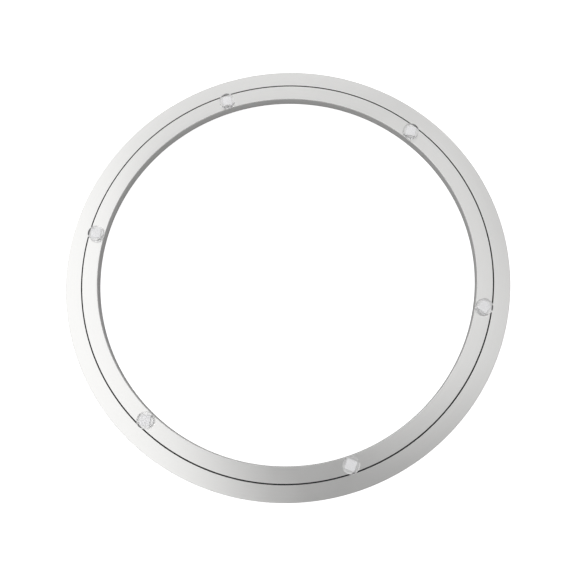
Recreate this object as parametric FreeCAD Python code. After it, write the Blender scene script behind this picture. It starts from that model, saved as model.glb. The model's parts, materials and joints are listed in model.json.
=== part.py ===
"""Lazy susan turntable ring: a fixed outer ring on soft feet, and an inner ring that turns on balls.

Millimetres, +Z up. The origin is on the floor under the centre of the ring, and +Z is the axis
that it turns about. Both rings are closed aluminium rings of the same height. The balls run in
the slit between them, held apart by a strip cage that stands in the slit.
"""

import math
import os

import FreeCAD
import Part

from FreeCAD import Vector

# rings
outer_diameter = 350.0
outer_face_width = 12.4
inner_face_width = 12.1
ring_height = 8.0
ring_gap = 1.0  # the slit between the rings, straight through from top to bottom
ring_step = 0.3  # how far the turning ring stands above the fixed one, so that no pad rubs
edge_round = 0.35
slit_chamfer = 0.15

# balls and cage
ball_diameter = 3.969
race_clearance = 0.05
cage_segments = 6
balls_per_segment = 12
cage_web = 0.5  # material left above and below a pocket
cage_clearance = 0.15
pocket_clearance = 0.12
segment_end_gap = 0.3

# filler plug, which closes the hole that the balls are loaded through
loading_clearance = 1.031  # the hole over the ball, which makes it M5 for this ball
plug_recess = 0.4
plug_socket_width = 2.5
plug_socket_depth = 2.0
plug_chamfer = 0.3  # on the plug's outer end and on the mouth of its hole
plug_angle = 270.0

# pads and feet: a clear cap moulded on a milky push-in core, the same above and below
pad_count = 6
pad_diameter = 13.0
pad_height = 3.5
pad_round = 1.2
pad_foot_chamfer = 0.3
pad_crown = 0.25  # how far the top face bulges above its edge
pad_flat_diameter = 6.0  # the level middle of the crown, which the table rests on
core_rim = 1.3  # clear wall between the pad's side and a corner of the core's square head
core_thickness = 1.2
core_corner = 0.8
stem_diameter = 3.6
rib_proud = 0.2
rib_height = 0.6
rib_count = 2
stem_length = 4.5
stem_tip_chamfer = 0.5
stem_end_room = 0.6
pad_inset = 0.1  # from the pad's edge to the bore
foot_inset = 0.3  # from the foot's edge to the outer edge of the ring
first_pad_angle = 30.0
first_foot_angle = 0.0
pad_turns = (58.0, 82.0, 72.0, 64.0, 50.0, 30.0)  # how each pad happens to be turned
foot_turns = (12.0, 40.0, 75.0, 20.0, 63.0, 34.0)

# places that follow from the sizes above
outer_radius = outer_diameter / 2
slit_outer = outer_radius - outer_face_width
slit_inner = slit_outer - ring_gap
bore_radius = slit_inner - inner_face_width
ball_circle = slit_inner + ring_gap / 2
race_radius = ball_diameter / 2 + race_clearance
fixed_bottom = pad_height
fixed_top = fixed_bottom + ring_height
turning_bottom = fixed_bottom + ring_step
turning_top = fixed_top + ring_step
ball_level = (fixed_bottom + turning_top) / 2
pocket_radius = ball_diameter / 2 + pocket_clearance
cage_height = 2 * (pocket_radius + cage_web)
cage_inner = slit_inner + cage_clearance
cage_outer = slit_outer - cage_clearance
groove_half = math.sqrt(race_radius**2 - (ring_gap / 2) ** 2)
pad_circle = bore_radius + pad_inset + pad_diameter / 2
foot_circle = outer_radius - foot_inset - pad_diameter / 2
plug_diameter = ball_diameter + loading_clearance
core_width = math.sqrt(2) * (pad_diameter / 2 - core_rim + (math.sqrt(2) - 1) * core_corner)
stem_hole_diameter = stem_diameter + 2 * rib_proud
stem_hole_depth = stem_length + stem_end_room
ball_step = 360.0 / (cage_segments * balls_per_segment)

UP = Vector(0, 0, 1)
CENTRE = Vector(0, 0, 0)


def at(radius, height):
    """A point of a section, in the half plane of +X and +Z."""
    return Vector(radius, 0, height)


def on_circle(radius, angle, height):
    turn = math.radians(angle)
    return Vector(radius * math.cos(turn), radius * math.sin(turn), height)


def outline(*steps):
    """A closed wire through the steps: a point for a line, or (middle, end) for an arc."""
    edges = []
    start = last = steps[0]
    for step in steps[1:] + (start,):
        if isinstance(step, tuple):
            edges.append(Part.Arc(last, step[0], step[1]).toShape())
            last = step[1]
        elif step.distanceToPoint(last) > 1e-7:
            edges.append(Part.makeLine(last, step))
            last = step
    return Part.Wire(edges)


def turned(wire, angle=360.0):
    """The solid that a section makes when it turns about Z."""
    return Part.Face(wire).revolve(CENTRE, UP, angle)


def rounded(corner, inward, radius):
    """The two steps that round a section's corner; inward gives the signs towards the material."""
    from_radius, from_height = inward
    centre = at(corner.x + from_radius * radius, corner.z + from_height * radius)
    slant = radius / math.sqrt(2)
    middle = at(centre.x - from_radius * slant, centre.z - from_height * slant)
    on_side = at(corner.x, centre.z)
    on_face = at(centre.x, corner.z)
    return on_side, middle, on_face


def drilled(shape, radius, depth, base, direction=UP):
    return shape.cut(Part.makeCylinder(radius, depth, base, direction))


def fixed_ring_blank():
    """The outer ring before it is drilled, with the ball groove in its section."""
    low_side, low_middle, low_face = rounded(at(outer_radius, fixed_bottom), (-1, 1), edge_round)
    top_side, top_middle, top_face = rounded(at(outer_radius, fixed_top), (-1, -1), edge_round)
    section = outline(
        at(slit_outer + slit_chamfer, fixed_bottom),
        low_face,
        (low_middle, low_side),
        top_side,
        (top_middle, top_face),
        at(slit_outer + slit_chamfer, fixed_top),
        at(slit_outer, fixed_top - slit_chamfer),
        at(slit_outer, ball_level + groove_half),
        (at(ball_circle + race_radius, ball_level), at(slit_outer, ball_level - groove_half)),
        at(slit_outer, fixed_bottom + slit_chamfer),
    )
    return turned(section)


def turning_ring():
    low_side, low_middle, low_face = rounded(at(bore_radius, turning_bottom), (1, 1), edge_round)
    top_side, top_middle, top_face = rounded(at(bore_radius, turning_top), (1, -1), edge_round)
    section = outline(
        low_side,
        (low_middle, low_face),
        at(slit_inner - slit_chamfer, turning_bottom),
        at(slit_inner, turning_bottom + slit_chamfer),
        at(slit_inner, ball_level - groove_half),
        (at(ball_circle - race_radius, ball_level), at(slit_inner, ball_level + groove_half)),
        at(slit_inner, turning_top - slit_chamfer),
        at(slit_inner - slit_chamfer, turning_top),
        top_face,
        (top_middle, top_side),
    )
    ring = turned(section)
    for number in range(pad_count):
        place = on_circle(pad_circle, first_pad_angle + number * 360.0 / pad_count, turning_bottom)
        ring = drilled(ring, stem_hole_diameter / 2, ring_height, place)
    return ring


def filler_bar(end, flare):
    """A radial bar from the slit out to end, which widens by the flare at 45 degrees as it ends."""
    radius = plug_diameter / 2
    outward = on_circle(1, plug_angle, 0)
    start = on_circle(slit_inner, plug_angle, ball_level)
    flare_start = on_circle(end - abs(flare), plug_angle, ball_level)
    bar = Part.makeCylinder(radius, end - abs(flare) - slit_inner, start, outward)
    return bar.fuse(Part.makeCone(radius, radius + flare, abs(flare), flare_start, outward))


def fixed_ring(blank):
    ring = blank.cut(filler_bar(outer_radius + plug_chamfer, 2 * plug_chamfer))
    for number in range(pad_count):
        place = on_circle(foot_circle, first_foot_angle + number * 360.0 / pad_count, fixed_bottom)
        ring = drilled(ring, stem_hole_diameter / 2, stem_hole_depth, place)
    return ring


def filler_plug(blank):
    """A grub screw whose inner end carries the groove on."""
    head = outer_radius - plug_recess
    plug = blank.common(filler_bar(head, -plug_chamfer))
    outward = on_circle(1, plug_angle, 0)
    corner = Vector(0, plug_socket_width / math.sqrt(3), 0)
    corners = [FreeCAD.Rotation(Vector(1, 0, 0), 60 * k).multVec(corner) for k in range(7)]
    socket = Part.Face(Part.makePolygon(corners)).extrude(Vector(plug_socket_depth + plug_recess, 0, 0))
    socket.rotate(CENTRE, UP, plug_angle)
    socket.translate(outward * (head - plug_socket_depth) + UP * ball_level)
    return plug.cut(socket)


def cage_segment(number):
    """A sixth of the strip cage, with a round pocket for each ball."""
    half_height = cage_height / 2
    span = 360.0 / cage_segments
    end_angle = math.degrees(segment_end_gap / 2 / cage_inner)
    section = outline(
        at(cage_inner, ball_level - half_height),
        at(cage_outer, ball_level - half_height),
        at(cage_outer, ball_level + half_height),
        at(cage_inner, ball_level + half_height),
    )
    strip = turned(section, span - 2 * end_angle)
    strip.rotate(CENTRE, UP, number * span + end_angle)
    for angle in ball_angles(number):
        inner_end = on_circle(slit_inner, angle, ball_level)
        outward = on_circle(1, angle, 0)
        strip = drilled(strip, pocket_radius, ring_gap, inner_end, outward)
    return strip


def ball_angles(segment):
    first = segment * balls_per_segment
    return [(first + k + 0.5) * ball_step for k in range(balls_per_segment)]


def ball_set(segment):
    balls = [
        Part.makeSphere(ball_diameter / 2, on_circle(ball_circle, angle, ball_level))
        for angle in ball_angles(segment)
    ]
    return Part.makeCompound(balls)


def pad_cap():
    """The clear cap with its seat at height 0, a crowned disc moulded round the core's head."""
    radius = pad_diameter / 2
    shoulder = pad_height - pad_crown - pad_round
    slant = pad_round / math.sqrt(2)
    disc = turned(
        outline(
            at(0, 0),
            at(radius - pad_foot_chamfer, 0),
            at(radius, pad_foot_chamfer),
            at(radius, shoulder),
            (
                at(radius - pad_round + slant, shoulder + slant),
                at(radius - pad_round, pad_height - pad_crown),
            ),
            at(pad_flat_diameter / 2, pad_height),
            at(0, pad_height),
        )
    )
    return disc.cut(core_head())


def core_head():
    """The square head of the core, which stands on the seat."""
    half = core_width / 2
    plate = Part.makeBox(core_width, core_width, core_thickness, Vector(-half, -half, 0))
    uprights = [edge for edge in plate.Edges if abs(edge.tangentAt(edge.FirstParameter).z) > 0.5]
    return plate.makeFillet(core_corner, uprights)


def pad_core():
    """The core: its square head, and the ribbed stem that is pushed into the ring."""
    stem = stem_diameter / 2
    rib = stem_hole_diameter / 2
    rib_step = (stem_length - stem_tip_chamfer) / (rib_count + 1)
    points = [at(0, 0), at(stem, 0)]
    for k in range(rib_count):
        middle = -(k + 1) * rib_step
        points += [
            at(stem, middle + rib_height / 2 + rib_proud),
            at(rib, middle + rib_height / 2),
            at(rib, middle - rib_height / 2),
            at(stem, middle - rib_height / 2 - rib_proud),
        ]
    points += [
        at(stem, stem_tip_chamfer - stem_length),
        at(stem - stem_tip_chamfer, -stem_length),
        at(0, -stem_length),
    ]
    return core_head().fuse(turned(outline(*points)))


def placed(piece, turn, place, upside_down=False):
    piece = piece.copy()
    piece.rotate(CENTRE, UP, turn)
    if upside_down:
        piece.rotate(CENTRE, Vector(1, 0, 0), 180)
    piece.translate(place)
    return piece


def build():
    blank = fixed_ring_blank()
    cap = pad_cap()
    core = pad_core()
    parts = {
        "outer_ring": fixed_ring(blank),
        "inner_ring": turning_ring(),
        "filler_plug": filler_plug(blank),
    }
    for number in range(pad_count):
        step = number * 360.0 / pad_count
        pad_place = on_circle(pad_circle, first_pad_angle + step, turning_top)
        foot_place = on_circle(foot_circle, first_foot_angle + step, fixed_bottom)
        pad_turn = pad_turns[number]
        foot_turn = foot_turns[number]
        parts[f"pad_{number + 1}"] = placed(cap, pad_turn, pad_place)
        parts[f"pad_core_{number + 1}"] = placed(core, pad_turn, pad_place)
        parts[f"foot_{number + 1}"] = placed(cap, foot_turn, foot_place, True)
        parts[f"foot_core_{number + 1}"] = placed(core, foot_turn, foot_place, True)
    for number in range(cage_segments):
        parts[f"cage_segment_{number + 1}"] = cage_segment(number)
        parts[f"balls_{number + 1}"] = ball_set(number)
    return parts


os.makedirs("parts", exist_ok=True)
for name, shape in build().items():
    shape.exportStep(f"parts/{name}.step")
    state = "valid" if shape.isValid() else "INVALID"
    print(name, len(shape.Solids), "solids", round(shape.Volume, 1), "mm3", state)
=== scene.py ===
# Lazy susan ring: two satin aluminium rings on a ball race, clear pads on milky cores above and below.
# Metres, +Z is the axis it turns about, and it stands at z = 0.

import json
import math

import bmesh
import bpy
import numpy as np
from mathutils import Matrix, Vector


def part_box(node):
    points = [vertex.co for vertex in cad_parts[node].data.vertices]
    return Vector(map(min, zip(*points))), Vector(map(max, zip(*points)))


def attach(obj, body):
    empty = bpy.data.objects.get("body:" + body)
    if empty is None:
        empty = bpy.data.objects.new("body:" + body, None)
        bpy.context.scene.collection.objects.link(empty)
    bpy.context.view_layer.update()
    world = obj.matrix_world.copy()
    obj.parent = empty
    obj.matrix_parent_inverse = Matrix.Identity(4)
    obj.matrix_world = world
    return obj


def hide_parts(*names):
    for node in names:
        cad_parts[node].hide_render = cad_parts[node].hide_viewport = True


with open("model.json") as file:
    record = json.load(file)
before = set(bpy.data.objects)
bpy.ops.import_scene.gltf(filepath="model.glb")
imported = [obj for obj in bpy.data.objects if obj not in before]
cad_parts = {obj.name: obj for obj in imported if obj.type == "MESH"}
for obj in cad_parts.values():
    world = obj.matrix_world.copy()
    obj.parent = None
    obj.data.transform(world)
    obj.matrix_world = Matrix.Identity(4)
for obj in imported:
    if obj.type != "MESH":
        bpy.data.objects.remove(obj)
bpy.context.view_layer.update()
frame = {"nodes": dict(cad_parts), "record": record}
bodies = frame["record"]["behaviour"]["bodies"]


class Signal:
    # a shader socket that can be written into an expression
    def __init__(self, finish, socket):
        self.finish = finish
        self.socket = socket

    def math(self, operation, *values):
        return self.finish.add("ShaderNodeMath", {"operation": operation}, dict(enumerate(values)))

    def __add__(self, other):
        return self.math("ADD", self, other)

    def __radd__(self, other):
        return self.math("ADD", other, self)

    def __sub__(self, other):
        return self.math("SUBTRACT", self, other)

    def __rsub__(self, other):
        return self.math("SUBTRACT", other, self)

    def __mul__(self, other):
        return self.math("MULTIPLY", self, other)

    def __rmul__(self, other):
        return self.math("MULTIPLY", other, self)

    def __truediv__(self, other):
        return self.math("DIVIDE", self, other)

    def __rtruediv__(self, other):
        return self.math("DIVIDE", other, self)

    def __pow__(self, other):
        return self.math("POWER", self, other)

    def __abs__(self):
        return self.math("ABSOLUTE", self)


class Finish:
    # one node tree: a new material's, or that of an owner such as the world
    def __init__(self, name, owner=None):
        self.material = owner or bpy.data.materials.new(name)
        self.material.use_nodes = True
        self.tree = self.material.node_tree
        self.tree.nodes.clear()

    def node(self, kind, settings=None, inputs=None):
        made = self.tree.nodes.new(kind)
        for key, value in (settings or {}).items():
            setattr(made, key, value)
        for key, value in (inputs or {}).items():
            if isinstance(value, Signal):
                self.tree.links.new(value.socket, made.inputs[key])
            else:
                made.inputs[key].default_value = value
        return made

    def add(self, kind, settings=None, inputs=None, output=0):
        return Signal(self, self.node(kind, settings, inputs).outputs[output])

    def place(self):
        return self.add("ShaderNodeTexCoord", output="Object")

    def split(self, vector):
        parts = self.node("ShaderNodeSeparateXYZ", inputs={0: vector})
        return [Signal(self, socket) for socket in parts.outputs]

    def vector(self, x, y, z):
        return self.add("ShaderNodeCombineXYZ", inputs={0: x, 1: y, 2: z})

    def noise(self, vector, scale, detail=2.0, roughness=0.5, along=None):
        settings = {"noise_dimensions": "3D" if along is None else "4D"}
        inputs = {"Vector": vector, "Scale": scale, "Detail": detail, "Roughness": roughness}
        if along is not None:
            inputs["W"] = along
        return self.add("ShaderNodeTexNoise", settings, inputs)

    def smooth(self, value, low, high, toLow=0.0, toHigh=1.0):
        # value eased from low..high onto toLow..toHigh
        settings = {"interpolation_type": "SMOOTHSTEP"}
        inputs = {0: value, 1: low, 2: high, 3: toLow, 4: toHigh}
        return self.add("ShaderNodeMapRange", settings, inputs)

    def blend(self, factor, first, second):
        settings = {"data_type": "RGBA"}
        return self.add("ShaderNodeMix", settings, {0: factor, 6: first, 7: second}, 2)

    def bump(self, height, strength, distance):
        inputs = {"Height": height, "Strength": strength, "Distance": distance}
        return self.add("ShaderNodeBump", None, inputs)

    def surface(self, **sockets):
        names = {key.replace("_", " "): value for key, value in sockets.items()}
        shader = self.add("ShaderNodeBsdfPrincipled", None, names)
        self.node("ShaderNodeOutputMaterial", inputs={"Surface": shader})
        return self.material


def weld(mesh, distance=1e-7):
    # merges the seam and the poles, and points every face outwards
    work = bmesh.new()
    work.from_mesh(mesh)
    bmesh.ops.remove_doubles(work, verts=work.verts, dist=distance)
    bmesh.ops.dissolve_degenerate(work, edges=work.edges, dist=distance)
    bmesh.ops.recalc_face_normals(work, faces=work.faces)
    work.to_mesh(mesh)
    work.free()


def gridObject(name, points, closeRows=False, rowFinish=None):
    # points[copy, row, column]: neighbours on the grid are joined by quads, and the columns wrap round.
    # closeRows joins the last row to the first; rowFinish gives each row of quads its material.
    points = points.reshape((-1,) + points.shape[-3:])
    copies, rows, columns = points.shape[:3]
    index = np.arange(copies * rows * columns).reshape(copies, rows, columns)
    turned = np.roll(index, -1, axis=2)
    strips = rows if closeRows else rows - 1
    above = np.roll(index, -1, axis=1)[:, :strips]
    aboveTurned = np.roll(turned, -1, axis=1)[:, :strips]
    quads = np.stack([index[:, :strips], turned[:, :strips], aboveTurned, above], axis=-1)
    mesh = bpy.data.meshes.new(name)
    mesh.from_pydata(points.reshape(-1, 3).tolist(), [], quads.reshape(-1, 4).tolist())
    if rowFinish is not None:
        finishes = np.broadcast_to(np.asarray(rowFinish)[None, :, None], quads.shape[:3])
        mesh.polygons.foreach_set("material_index", np.ascontiguousarray(finishes, dtype=np.int32).ravel())
    weld(mesh)
    piece = bpy.data.objects.new(name, mesh)
    bpy.context.scene.collection.objects.link(piece)
    return piece


def revolved(outline, columns):
    # each (radius, height) point of the outline carried round Z: x = r cos u, y = r sin u, z = h
    turn = np.arange(columns) * 2 * np.pi / columns
    radius, height = outline[:, 0, None], outline[:, 1, None]
    across = [radius * np.cos(turn), radius * np.sin(turn), height + 0 * turn]
    return np.stack(across, axis=-1)


def arc(centre, radius, start, end, steps):
    # points of a circle about centre, from the angle start to the angle end
    angle = np.radians(np.linspace(start, end, steps))
    return np.stack([centre[0] + radius * np.cos(angle), centre[1] + radius * np.sin(angle)], axis=-1)


def roundedCorner(before, corner, after, radius, steps=9, guard=0.00006):
    # an arc that touches both sides of the corner, with one more point on each flat to hold its shading
    before, corner, after = (np.array(point, float) for point in (before, corner, after))
    inward = (before - corner) / np.linalg.norm(before - corner)
    onward = (after - corner) / np.linalg.norm(after - corner)
    half = math.acos(np.clip(inward @ onward, -1, 1)) / 2
    reach = radius / math.tan(half)
    middle = (inward + onward) / np.linalg.norm(inward + onward)
    centre = corner + middle * radius / math.sin(half)
    share = np.linspace(0, 1, steps)[:, None]
    spread = math.pi - 2 * half
    first, last = corner + inward * reach - centre, corner + onward * reach - centre
    bend = (np.sin((1 - share) * spread) * first + np.sin(share * spread) * last) / math.sin(spread)
    return np.vstack([corner + inward * (reach + guard), centre + bend, corner + onward * (reach + guard)])


def roundedOutline(corners):
    # a closed outline of (radius, height, rounding) corners; an array among them is taken as it is
    points = [corner[0] if isinstance(corner, np.ndarray) else corner[:2] for corner in corners]
    ends = [corner[-1] if isinstance(corner, np.ndarray) else corner[:2] for corner in corners]
    runs = []
    for k, corner in enumerate(corners):
        if isinstance(corner, np.ndarray):
            runs.append(corner)
        else:
            after = points[(k + 1) % len(corners)]
            runs.append(roundedCorner(ends[k - 1], corner[:2], after, corner[2]))
    return np.vstack(runs)


def smoothShaded(piece, sharpAngle=32):
    piece.data.shade_smooth()
    piece.data.set_sharp_from_angle(angle=math.radians(sharpAngle))


def drilled(piece, cutters):
    # takes the cutters out of the piece, then throws them away
    for cutter in cutters:
        cut = piece.modifiers.new("hole", "BOOLEAN")
        cut.operation = "DIFFERENCE"
        cut.solver = "EXACT"
        cut.object = cutter
    shaped = piece.evaluated_get(bpy.context.evaluated_depsgraph_get())
    mesh = bpy.data.meshes.new_from_object(shaped)
    piece.modifiers.clear()
    old, piece.data = piece.data, mesh
    bpy.data.meshes.remove(old)
    for cutter in cutters:
        bpy.data.objects.remove(cutter)
    mesh.name = piece.name


def cornersOf(node):
    return [np.array(corner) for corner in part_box(node)]


outerLow, outerHigh = cornersOf("outer_ring")
innerLow, innerHigh = cornersOf("inner_ring")
padLow, padHigh = cornersOf("pad_1")
footLow, footHigh = cornersOf("foot_1")
ballLow, ballHigh = cornersOf("balls_1")
coreLow, coreHigh = cornersOf("pad_core_1")
mounts = {mount["name"]: mount for mount in frame["record"]["mounts"]}

race = {
    "gap": 0.0010,
    "ballCount": 72,
    "ballLevel": (ballLow[2] + ballHigh[2]) / 2,
    "ballRadius": (ballHigh[2] - ballLow[2]) / 2,
    "clearance": 0.00005,
}
race["circle"] = innerHigh[0] + race["gap"] / 2
race["grooveRadius"] = race["ballRadius"] + race["clearance"]
slitOuter = innerHigh[0] + race["gap"]
grooveOpening = math.degrees(math.acos(race["gap"] / 2 / race["grooveRadius"]))

ring = {
    "columns": 720,
    "boreRadius": mounts["centre_bore"]["dims"]["r_mm"] / 1000,
    "edgeRound": 0.00035,
    "slitRound": 0.00012,
    "stemHole": 0.0020,
    "stemHoleDepth": 0.0051,
    "holeFlare": 0.00015,
    "plugHole": 0.0025,
    "mouthFlare": 0.0003,
}
padCircle = float(np.hypot(*((padLow + padHigh)[:2] / 2)))
footCircle = float(np.hypot(*((footLow + footHigh)[:2] / 2)))
padAngles = 30 + 60 * np.arange(6)
footAngles = 60 * np.arange(6)


satin = {
    "face": (0.80, 0.797, 0.785, 1),
    # painted shade: the upright walls take a darker copy of the face colour
    "wall": (0.60, 0.597, 0.588, 1),
    # painted shade: near-black tone painted on the slit's walls
    "slitPaintedShade": (0.05, 0.05, 0.05, 1),
    "roughness": 0.30,
    "edgeRoughness": 0.22,
    "linePitch": 0.00022,
    "bandPitch": 0.0011,
    "lineDepth": 0.0000012,
    "shade": 0.905,
    "bandShade": 0.08,
    "cloudShade": 0.06,
    "lineShade": 0.05,
}


def satinAluminium():
    # clear-anodised aluminium: lathe lines run round Z, on the faces by radius and on the walls by height
    finish = Finish("satinAluminium")
    place = finish.place()
    x, y, z = finish.split(place)
    radius = (x * x + y * y) ** 0.5
    around = finish.vector(x / radius, y / radius, 0.0)
    across = radius + z
    lines = finish.noise(around, 14.0, 2.0, 0.6, across / satin["linePitch"])
    bands = finish.noise(around, 5.0, 2.0, 0.5, across / satin["bandPitch"])
    clouds = finish.noise(place, 38.0, 3.0, 0.55)
    upright = abs(finish.split(finish.add("ShaderNodeNewGeometry", output="Normal"))[2])
    faceMask = finish.smooth(upright, 0.35, 0.85)
    edgeMask = finish.smooth(upright, 0.04, 0.2) * finish.smooth(upright, 0.97, 0.9995, 1.0, 0.0)
    inSlit = finish.smooth(abs(radius - race["circle"]), race["gap"] * 0.5, race["gap"] * 0.62, 1.0, 0.0)
    wall = finish.blend(inSlit, satin["wall"], satin["slitPaintedShade"])  # painted shade: the slit's walls are painted near-black, as if in deep shadow
    # painted shade: upright faces get the darker wall tone, flat faces the face colour
    tone = finish.blend(faceMask, wall, satin["face"])
    shade = (satin["shade"] + satin["bandShade"] * bands + satin["cloudShade"] * clouds
             + satin["lineShade"] * lines)
    colour = finish.add("ShaderNodeMix", {"data_type": "RGBA", "blend_type": "MULTIPLY"},
                        {0: 1.0, 6: tone, 7: finish.vector(shade, shade, shade)}, 2)
    dull = satin["roughness"] + 0.07 * (clouds - 0.5) + 0.06 * (bands - 0.5)
    rough = dull - edgeMask * (satin["roughness"] - satin["edgeRoughness"])
    relief = finish.bump(lines, 0.35, satin["lineDepth"])
    return finish.surface(Base_Color=colour, Metallic=1.0, Roughness=rough, Normal=relief)


clear = {
    "tint": (0.955, 0.955, 0.96, 1),
    "paleTint": (0.98, 0.98, 0.984, 1),
    "indexOfRefraction": 1.34,
    "roughness": 0.17,
    "clarity": 0.92,
    "lightThrough": (0.98, 0.98, 0.98, 1),
}


def clearSilicone():
    finish = Finish("clearSilicone")
    place = finish.place()
    film = finish.noise(place, 900.0, 3.0, 0.6)
    flow = finish.noise(place, 260.0, 1.0, 0.5)
    rough = clear["roughness"] + 0.08 * film
    relief = finish.bump(flow, 0.25, 0.00008)
    colour = finish.blend(flow, clear["tint"], clear["paleTint"])
    body = finish.add("ShaderNodeBsdfPrincipled", None, {
        "Base Color": colour, "Roughness": rough, "IOR": clear["indexOfRefraction"],
        "Transmission Weight": clear["clarity"], "Normal": relief})
    # light from the lamps reaches what is under the cap instead of stopping at it
    passing = finish.add("ShaderNodeBsdfTransparent", None, {"Color": clear["lightThrough"]})
    shadowed = finish.add("ShaderNodeLightPath", output="Is Shadow Ray")
    both = finish.add("ShaderNodeMixShader", None, {0: shadowed, 1: body, 2: passing})
    finish.node("ShaderNodeOutputMaterial", inputs={"Surface": both})
    return finish.material


polythene = {
    "shade": (0.845, 0.842, 0.848, 1),
    "light": (0.885, 0.882, 0.887, 1),
    "roughness": 0.45,
    "moulding": 0.00012,
}


def milkyPlastic():
    # natural polythene, off-white, with the mottling of small flow marks
    finish = Finish("milkyPlastic")
    place = finish.place()
    flow = finish.noise(place, 420.0, 3.0, 0.55)
    grain = finish.noise(place, 2600.0, 3.0, 0.6)
    colour = finish.blend(finish.smooth(flow, 0.35, 0.65), polythene["shade"], polythene["light"])
    relief = finish.bump(flow + 0.3 * grain, 0.5, polythene["moulding"])
    return finish.surface(Base_Color=colour, Roughness=polythene["roughness"] + 0.2 * grain, Normal=relief)


bearingSteel = {
    "shade": (0.60, 0.60, 0.61, 1),
    "light": (0.72, 0.72, 0.73, 1),
    "roughness": 0.07,
}


def polishedSteel():
    finish = Finish("polishedSteel")
    film = finish.noise(finish.place(), 700.0, 3.0, 0.6)
    colour = finish.blend(film, bearingSteel["shade"], bearingSteel["light"])
    rough = bearingSteel["roughness"] + 0.1 * film
    return finish.surface(Base_Color=colour, Metallic=1.0, Roughness=rough)


cageNylon = {
    "shade": (0.012, 0.012, 0.013, 1),
    "light": (0.022, 0.022, 0.023, 1),
    "roughness": 0.45,
    "grainDepth": 0.00003,
}


def blackNylon():
    finish = Finish("blackNylon")
    place = finish.place()
    grain = finish.noise(place, 3000.0, 4.0, 0.6)
    patches = finish.noise(place, 120.0, 2.0, 0.5)
    colour = finish.blend(patches, cageNylon["shade"], cageNylon["light"])
    relief = finish.bump(grain, 0.4, cageNylon["grainDepth"])
    return finish.surface(Base_Color=colour, Roughness=cageNylon["roughness"] + 0.15 * grain, Normal=relief)


plugFace = {
    "shade": (0.42, 0.42, 0.43, 1),
    "light": (0.56, 0.56, 0.57, 1),
    "roughness": 0.24,
    "markPitch": 0.00012,
    "markDepth": 0.000004,
}


def turnedSteel():
    # the filler plug: facing marks on its end run round its own axis, which lies along Y
    finish = Finish("turnedSteel")
    place = finish.place()
    x, y, z = finish.split(place)
    height = z - race["ballLevel"]
    off = (x * x + height * height) ** 0.5
    marks = finish.noise(place, 60.0, 2.0, 0.6, off / plugFace["markPitch"])
    film = finish.noise(place, 900.0, 3.0, 0.6)
    colour = finish.blend(film, plugFace["shade"], plugFace["light"])
    relief = finish.bump(marks, 0.4, plugFace["markDepth"])
    rough = plugFace["roughness"] + 0.14 * marks
    return finish.surface(Base_Color=colour, Metallic=1.0, Roughness=rough, Normal=relief)


aluminium = satinAluminium()
silicone = clearSilicone()
milky = milkyPlastic()
steel = polishedSteel()
nylon = blackNylon()
plugSteel = turnedSteel()
print("finishes made")


def holeCutter(name, radius, flare, depth, base, axis, angle):
    # a round hole's inside: its radius opens by the flare at the mouth, which is at base
    out = 0.0005
    outline = np.array([
        (0, -out), (radius + flare + out, -out), (radius, flare), (radius, depth), (0, depth),
    ])
    cutter = gridObject(name, revolved(outline, 64))
    turn = Matrix.Rotation(math.radians(angle), 4, "Z")
    aim = Vector((0, 0, 1)).rotation_difference(Vector(axis)).to_matrix().to_4x4()
    cutter.data.transform(turn @ Matrix.Translation(Vector(base)) @ aim)
    return cutter


def makeOuterRing():
    level, bottom, top = race["ballLevel"], outerLow[2], outerHigh[2]
    edge, lip = ring["edgeRound"], ring["slitRound"]
    outline = roundedOutline([
        (slitOuter, bottom, lip),
        (outerHigh[0], bottom, edge),
        (outerHigh[0], top, edge),
        (slitOuter, top, lip),
        arc((race["circle"], level), race["grooveRadius"], grooveOpening, -grooveOpening, 17),
    ])
    piece = gridObject("outerRing", revolved(outline, ring["columns"]), closeRows=True)
    cutters = [
        holeCutter("footHole", ring["stemHole"], ring["holeFlare"], ring["stemHoleDepth"],
                   (footCircle, 0, bottom), (0, 0, 1), angle)
        for angle in footAngles
    ]
    plugDepth = outerHigh[0] - innerHigh[0]
    cutters.append(holeCutter("plugHole", ring["plugHole"], ring["mouthFlare"], plugDepth,
                              (outerHigh[0], 0, level), (-1, 0, 0), 270))
    drilled(piece, cutters)
    return piece


def makeInnerRing():
    level, bottom, top = race["ballLevel"], innerLow[2], innerHigh[2]
    edge, lip = ring["edgeRound"], ring["slitRound"]
    outline = roundedOutline([
        (ring["boreRadius"], bottom, edge),
        (innerHigh[0], bottom, lip),
        arc((race["circle"], level), race["grooveRadius"], 180 + grooveOpening, 180 - grooveOpening, 17),
        (innerHigh[0], top, lip),
        (ring["boreRadius"], top, edge),
    ])
    piece = gridObject("innerRing", revolved(outline, ring["columns"]), closeRows=True)
    height = top - bottom
    cutters = [
        holeCutter("padHole", ring["stemHole"], ring["holeFlare"], height + 0.0005,
                   (padCircle, 0, bottom), (0, 0, 1), angle)
        for angle in padAngles
    ]
    drilled(piece, cutters)
    return piece


def finished(piece, node, slot, *materials):
    # gives a new piece its materials and the body that it rides on, and hides the CAD node that it takes the
    # place of
    piece.data.materials.clear()
    for material in materials:
        piece.data.materials.append(material)
    body = next(name for name, members in bodies.items() if node in members)
    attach(piece, body)
    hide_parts(node)
    return piece


for makeRing, node in ((makeOuterRing, "outer_ring"), (makeInnerRing, "inner_ring")):
    piece = finished(makeRing(), node, "ring_aluminium", aluminium)
    smoothShaded(piece)
    print(piece.name, len(piece.data.polygons), "faces")


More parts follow.
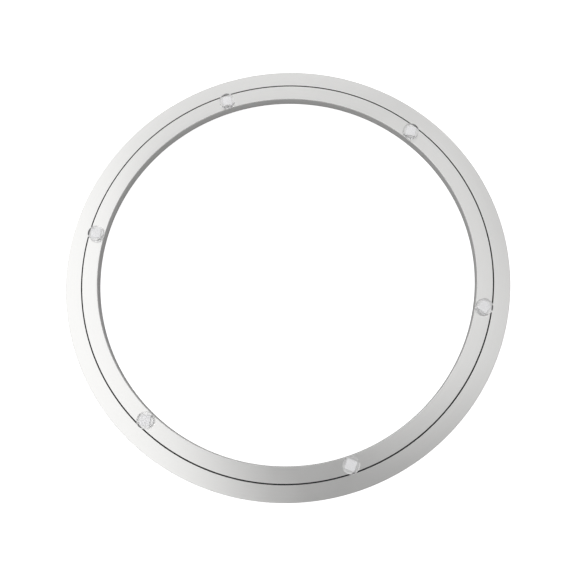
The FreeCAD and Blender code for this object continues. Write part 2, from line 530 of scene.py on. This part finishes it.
pad = {
    "columns": 192,
    "radius": (padHigh[0] - padLow[0]) / 2,
    "height": padHigh[2] - innerHigh[2],
    "edgeRound": 0.0012,
    "crownSlope": 5.5,
    "footRound": 0.0003,
    "seatGap": 0.00003,
    "coreHalf": 0.003911,
    "coreCorner": 0.0008,
    "coreThickness": coreHigh[2] - innerHigh[2],
    "coreRound": 0.0002,
    "moulding": 0.00001,
    "stem": 0.0018,
    "rib": 0.00198,
    "ribHeight": 0.0006,
    "ribCount": 2,
    "stemLength": innerHigh[2] - coreLow[2],
    "tipChamfer": 0.0005,
    "guard": 0.00006,  # rows this near an edge hold its shading
    "sideGuard": 0.0001,
    "roofGuard": 0.0002,
}
padTurns = (58, 82, 72, 64, 50, 30)
footTurns = (12, 40, 75, 20, 63, 34)


def squareReach(turn, half, corner):
    # distance from the middle of a rounded square to its edge, in each direction:
    # half / cos u on the flat sides, and the far crossing of the corner's circle near the diagonals
    quarter = np.pi / 2
    folded = np.abs((turn + quarter / 2) % quarter - quarter / 2)
    inset = half - corner
    along = inset * (np.cos(folded) + np.sin(folded))
    aside = inset * (np.cos(folded) - np.sin(folded))
    bent = along + np.sqrt(np.maximum(corner**2 - aside**2, 0))
    return np.where(half * np.sin(folded) > inset * np.cos(folded), bent, half / np.cos(folded))


def rowsOf(points, squareness):
    # adds a column to (radius, height) points: 0 where the row is a circle, 1 where it is the square
    points = np.atleast_2d(points)
    return np.column_stack([points, np.broadcast_to(squareness, len(points))])


def capProfile():
    # from the crown's middle over the side and the seat to the middle of the square pocket's roof
    size, top, edge = pad["radius"], pad["height"], pad["edgeRound"]
    slope = math.radians(pad["crownSlope"])
    crownEdge = size - edge * (1 - math.sin(slope))
    out = crownEdge * np.linspace(0, 1, 14)
    fall = out**2 * math.tan(slope) / (2 * crownEdge)
    crown = np.stack([out, top - fall], axis=-1)
    centre = (size - edge, crown[-1, 1] - edge * math.cos(slope))
    shoulder = arc(centre, edge, 90 - pad["crownSlope"], 0, 14)[1:]
    low, seat = pad["footRound"], pad["seatGap"]
    lip = arc((size - low, seat + low), low, 0, -90, 7)
    half, bend, roof = pad["coreHalf"], pad["coreRound"], pad["coreThickness"]
    cove = arc((half - bend, roof - bend), bend, 0, 90, 6)
    return np.vstack([
        rowsOf(crown, 0), rowsOf(shoulder, 0),
        rowsOf((size, seat + low + pad["sideGuard"]), 0), rowsOf(lip, 0),
        rowsOf((size - low - pad["sideGuard"], seat), 0), rowsOf((half + pad["guard"], seat), 1),
        rowsOf((half, seat + pad["guard"]), 1), rowsOf(cove, 1),
        rowsOf([(half - bend - pad["roofGuard"], roof), (half / 2, roof), (0, roof)], (1, 0.5, 0)),
    ])


def coreProfile():
    # from the middle of the square head's top, over its side and its seat to the tip of the stem
    part, seat = pad["moulding"], pad["seatGap"]
    half, bend, top = pad["coreHalf"] - part, pad["coreRound"], pad["coreThickness"] - part
    shoulder = arc((half - bend, top - bend), bend, 90, 0, 6)
    return np.vstack([
        rowsOf([(0, top), (half / 2, top), (half - bend - pad["roofGuard"], top)], (0, 0.5, 1)),
        rowsOf(shoulder, 1),
        rowsOf([(half, seat + pad["guard"]), (half - pad["guard"], seat)], 1),
        rowsOf([((half + pad["stem"]) / 2, seat), (pad["stem"] + 0.0003, seat)], (0.5, 0)),
        rowsOf(stemProfile(), 0),
    ])


def stemProfile():
    # down the stem: its root, two low ribs that grip the hole, and a chamfered tip
    stem, rib, tall = pad["stem"], pad["rib"], pad["ribHeight"] / 2
    slope = rib - stem
    spacing = (pad["stemLength"] - pad["tipChamfer"]) / (pad["ribCount"] + 1)
    middles = -spacing * (1 + np.arange(pad["ribCount"]))
    ribs = [
        [(stem, level + tall + slope), (rib, level + tall), (rib, level - tall), (stem, level - tall - slope)]
        for level in middles
    ]
    tip = [(stem, pad["tipChamfer"] - pad["stemLength"]), (stem - pad["tipChamfer"], -pad["stemLength"]),
           (0, -pad["stemLength"])]
    return np.array([(stem + pad["sideGuard"], pad["seatGap"]), (stem, 0)] + sum(ribs, []) + tip)


def mouldedGrid(profile):
    # r(u, v) = (1 - s) * circle + s * rounded square, where the squareness s and the height follow the row v
    radius, height, squareness = profile.T[:, :, None]
    turn = np.arange(pad["columns"]) * 2 * np.pi / pad["columns"]
    corner = np.maximum(pad["coreCorner"] - np.maximum(pad["coreHalf"] - radius, 0), 0.0002)
    reach = (1 - squareness) * radius + squareness * squareReach(turn, radius, corner)
    return np.stack([reach * np.cos(turn), reach * np.sin(turn), height + 0 * turn], axis=-1)


def placedPad(kind, number, circle, angle, turn, level, flip):
    # a clear cap and the milky core inside it, turned together and set down at their angle on the ring;
    # the cap is moulded on the core, so the walls of its square pocket show the core's finish
    upsideDown = Matrix.Rotation(math.pi if flip else 0.0, 4, "X")
    spin = Matrix.Rotation(math.radians(turn), 4, "Z")
    bearing = math.radians(angle)
    there = Matrix.Translation((circle * math.cos(bearing), circle * math.sin(bearing), level))
    mouldings = (
        (kind, kind, capProfile(), "pad_silicone", (silicone, milky)),
        (kind + "Core", kind + "_core", coreProfile(), "core_plastic", (milky,)),
    )
    for name, node, profile, slot, materials in mouldings:
        pocket = (profile[:-1, 2] > 0) & (len(materials) > 1)
        piece = gridObject(f"{name}{number}", mouldedGrid(profile), rowFinish=pocket.astype(int))
        piece.data.transform(there @ upsideDown @ spin)
        smoothShaded(piece, 40)
        finished(piece, f"{node}_{number}", slot, *materials)


for k in range(6):
    placedPad("pad", k + 1, padCircle, padAngles[k], padTurns[k], innerHigh[2], False)
    placedPad("foot", k + 1, footCircle, footAngles[k], footTurns[k], outerLow[2], True)
print("pads and feet made")


ball = {"rows": 17, "columns": 32}


def ballSet(number):
    # spheres: x = r sin v cos u, y = r sin v sin u, z = r cos v about each ball's centre
    perSet = race["ballCount"] // 6
    bearing = (np.arange(perSet) + number * perSet + 0.5) * 2 * np.pi / race["ballCount"]
    centres = np.stack([race["circle"] * np.cos(bearing), race["circle"] * np.sin(bearing),
                        np.full(perSet, race["ballLevel"])], axis=-1)
    down = np.linspace(0, np.pi, ball["rows"])
    outline = race["ballRadius"] * np.stack([np.sin(down), np.cos(down)], axis=-1)
    points = centres[:, None, None, :] + revolved(outline, ball["columns"])[None]
    piece = gridObject(f"balls{number + 1}", points)
    smoothShaded(piece, 60)
    return finished(piece, f"balls_{number + 1}", "ball_steel", steel)


def repaint(node, material):
    carried = frame["nodes"][node]
    carried.data.materials.clear()
    carried.data.materials.append(material)


for number in range(6):
    ballSet(number)
    repaint(f"cage_segment_{number + 1}", nylon)
repaint("filler_plug", plugSteel)
print("race made")


studio = {
    "floorSide": 12.0,
    "floorGlow": 0.90,
    "floorTone": (0.78, 0.78, 0.78, 1),
    "floorLight": (0.80, 0.80, 0.80, 1),
    "backdrop": (1.0, 1.0, 1.0, 1),
    "overhead": (0.25, 0.25, 0.252, 1),
    "horizon": (1.10, 1.10, 1.10, 1),
    "horizonTop": 0.25,
    "overheadBase": 0.65,
}

# panels that hang level and face down, so each one's place is its middle
softboxes = {
    "left": {"at": (-0.72, 0.79, 1.21), "size": (0.90, 2.80), "power": 8.55},
    "back": {"at": (0.695, 1.05, 1.21), "size": (2.03, 0.50), "power": 2.93},
    "right": {"at": (0.395, 0.22, 1.21), "size": (0.65, 0.88), "power": 1.49},
}


def makeFloor():
    # a pale sweep: the lights only tint it, so that it stays near white behind the ring
    half = studio["floorSide"] / 2
    mesh = bpy.data.meshes.new("floor")
    corners = [(-half, -half, 0), (half, -half, 0), (half, half, 0), (-half, half, 0)]
    mesh.from_pydata(corners, [], [(0, 1, 2, 3)])
    floor = bpy.data.objects.new("floor", mesh)
    bpy.context.scene.collection.objects.link(floor)
    finish = Finish("paleSweep")
    grain = finish.noise(finish.place(), 30.0, 3.0, 0.5)
    colour = finish.blend(grain, studio["floorTone"], studio["floorLight"])
    matte = finish.add("ShaderNodeBsdfDiffuse", None, {"Color": colour})
    glow = finish.add("ShaderNodeEmission", None, {"Color": (1, 1, 1, 1), "Strength": studio["floorGlow"]})
    seen = finish.add("ShaderNodeLightPath", output="Is Camera Ray")
    nothing = finish.add("ShaderNodeEmission", None, {"Color": (0, 0, 0, 1), "Strength": 0.0})
    shown = finish.add("ShaderNodeMixShader", None, {0: seen, 1: nothing, 2: glow})
    both = finish.add("ShaderNodeAddShader", None, {0: matte, 1: shown})
    finish.node("ShaderNodeOutputMaterial", inputs={"Surface": both})
    mesh.materials.append(finish.material)


def makeWorld():
    # bright low down and dim overhead, with a plain white backdrop for the camera
    world = bpy.data.worlds.new("studioAir")
    bpy.context.scene.world = world
    sky = Finish("studioAir", world)
    upward = sky.split(sky.add("ShaderNodeTexCoord", output="Generated"))[2]
    lift = sky.smooth(upward, studio["horizonTop"], studio["overheadBase"])
    air = sky.blend(lift, studio["horizon"], studio["overhead"])
    around = sky.add("ShaderNodeBackground", None, {"Color": air})
    behind = sky.add("ShaderNodeBackground", None, {"Color": studio["backdrop"]})
    seen = sky.add("ShaderNodeLightPath", output="Is Camera Ray")
    both = sky.add("ShaderNodeMixShader", None, {0: seen, 1: around, 2: behind})
    sky.node("ShaderNodeOutputWorld", inputs={"Surface": both})


def makeSoftboxes():
    for name, box in softboxes.items():
        light = bpy.data.lights.new(name, "AREA")
        light.shape = "RECTANGLE"
        light.size, light.size_y = box["size"]
        light.energy = box["power"]
        lamp = bpy.data.objects.new(name, light)
        lamp.location = box["at"]
        lamp.visible_camera = False
        bpy.context.scene.collection.objects.link(lamp)


camera = {
    "elevation": 75.77,
    "azimuth": -7.0,
    "roll": -11.5,
    "target": (-0.00196, -0.01522, 0.0116),
    "distance": 0.4878,
    "lens": 38.96,
}


def makeCamera():
    # looks down at the target, turned about its own line of sight by the roll
    lift, swing, roll = (math.radians(camera[key]) for key in ("elevation", "azimuth", "roll"))
    back = Vector((math.sin(swing) * math.cos(lift), -math.cos(swing) * math.cos(lift), math.sin(lift)))
    right = Vector((math.cos(swing), math.sin(swing), 0))
    up = back.cross(right)
    across = math.cos(roll) * right + math.sin(roll) * up
    upward = -math.sin(roll) * right + math.cos(roll) * up
    lensData = bpy.data.cameras.new("camera")
    lensData.sensor_width = 36.0
    lensData.lens = camera["lens"]
    lensData.clip_start = 0.01
    lensData.clip_end = 50.0
    eye = bpy.data.objects.new("camera", lensData)
    eye.matrix_world = Matrix.Translation(Vector(camera["target"]) + back * camera["distance"]) @ Matrix(
        (across, upward, back)).transposed().to_4x4()
    bpy.context.scene.collection.objects.link(eye)
    bpy.context.scene.camera = eye


makeFloor()
makeWorld()
makeSoftboxes()
makeCamera()
bpy.context.scene.view_settings.view_transform = "Standard"
print("studio made")

bpy.context.view_layer.update()
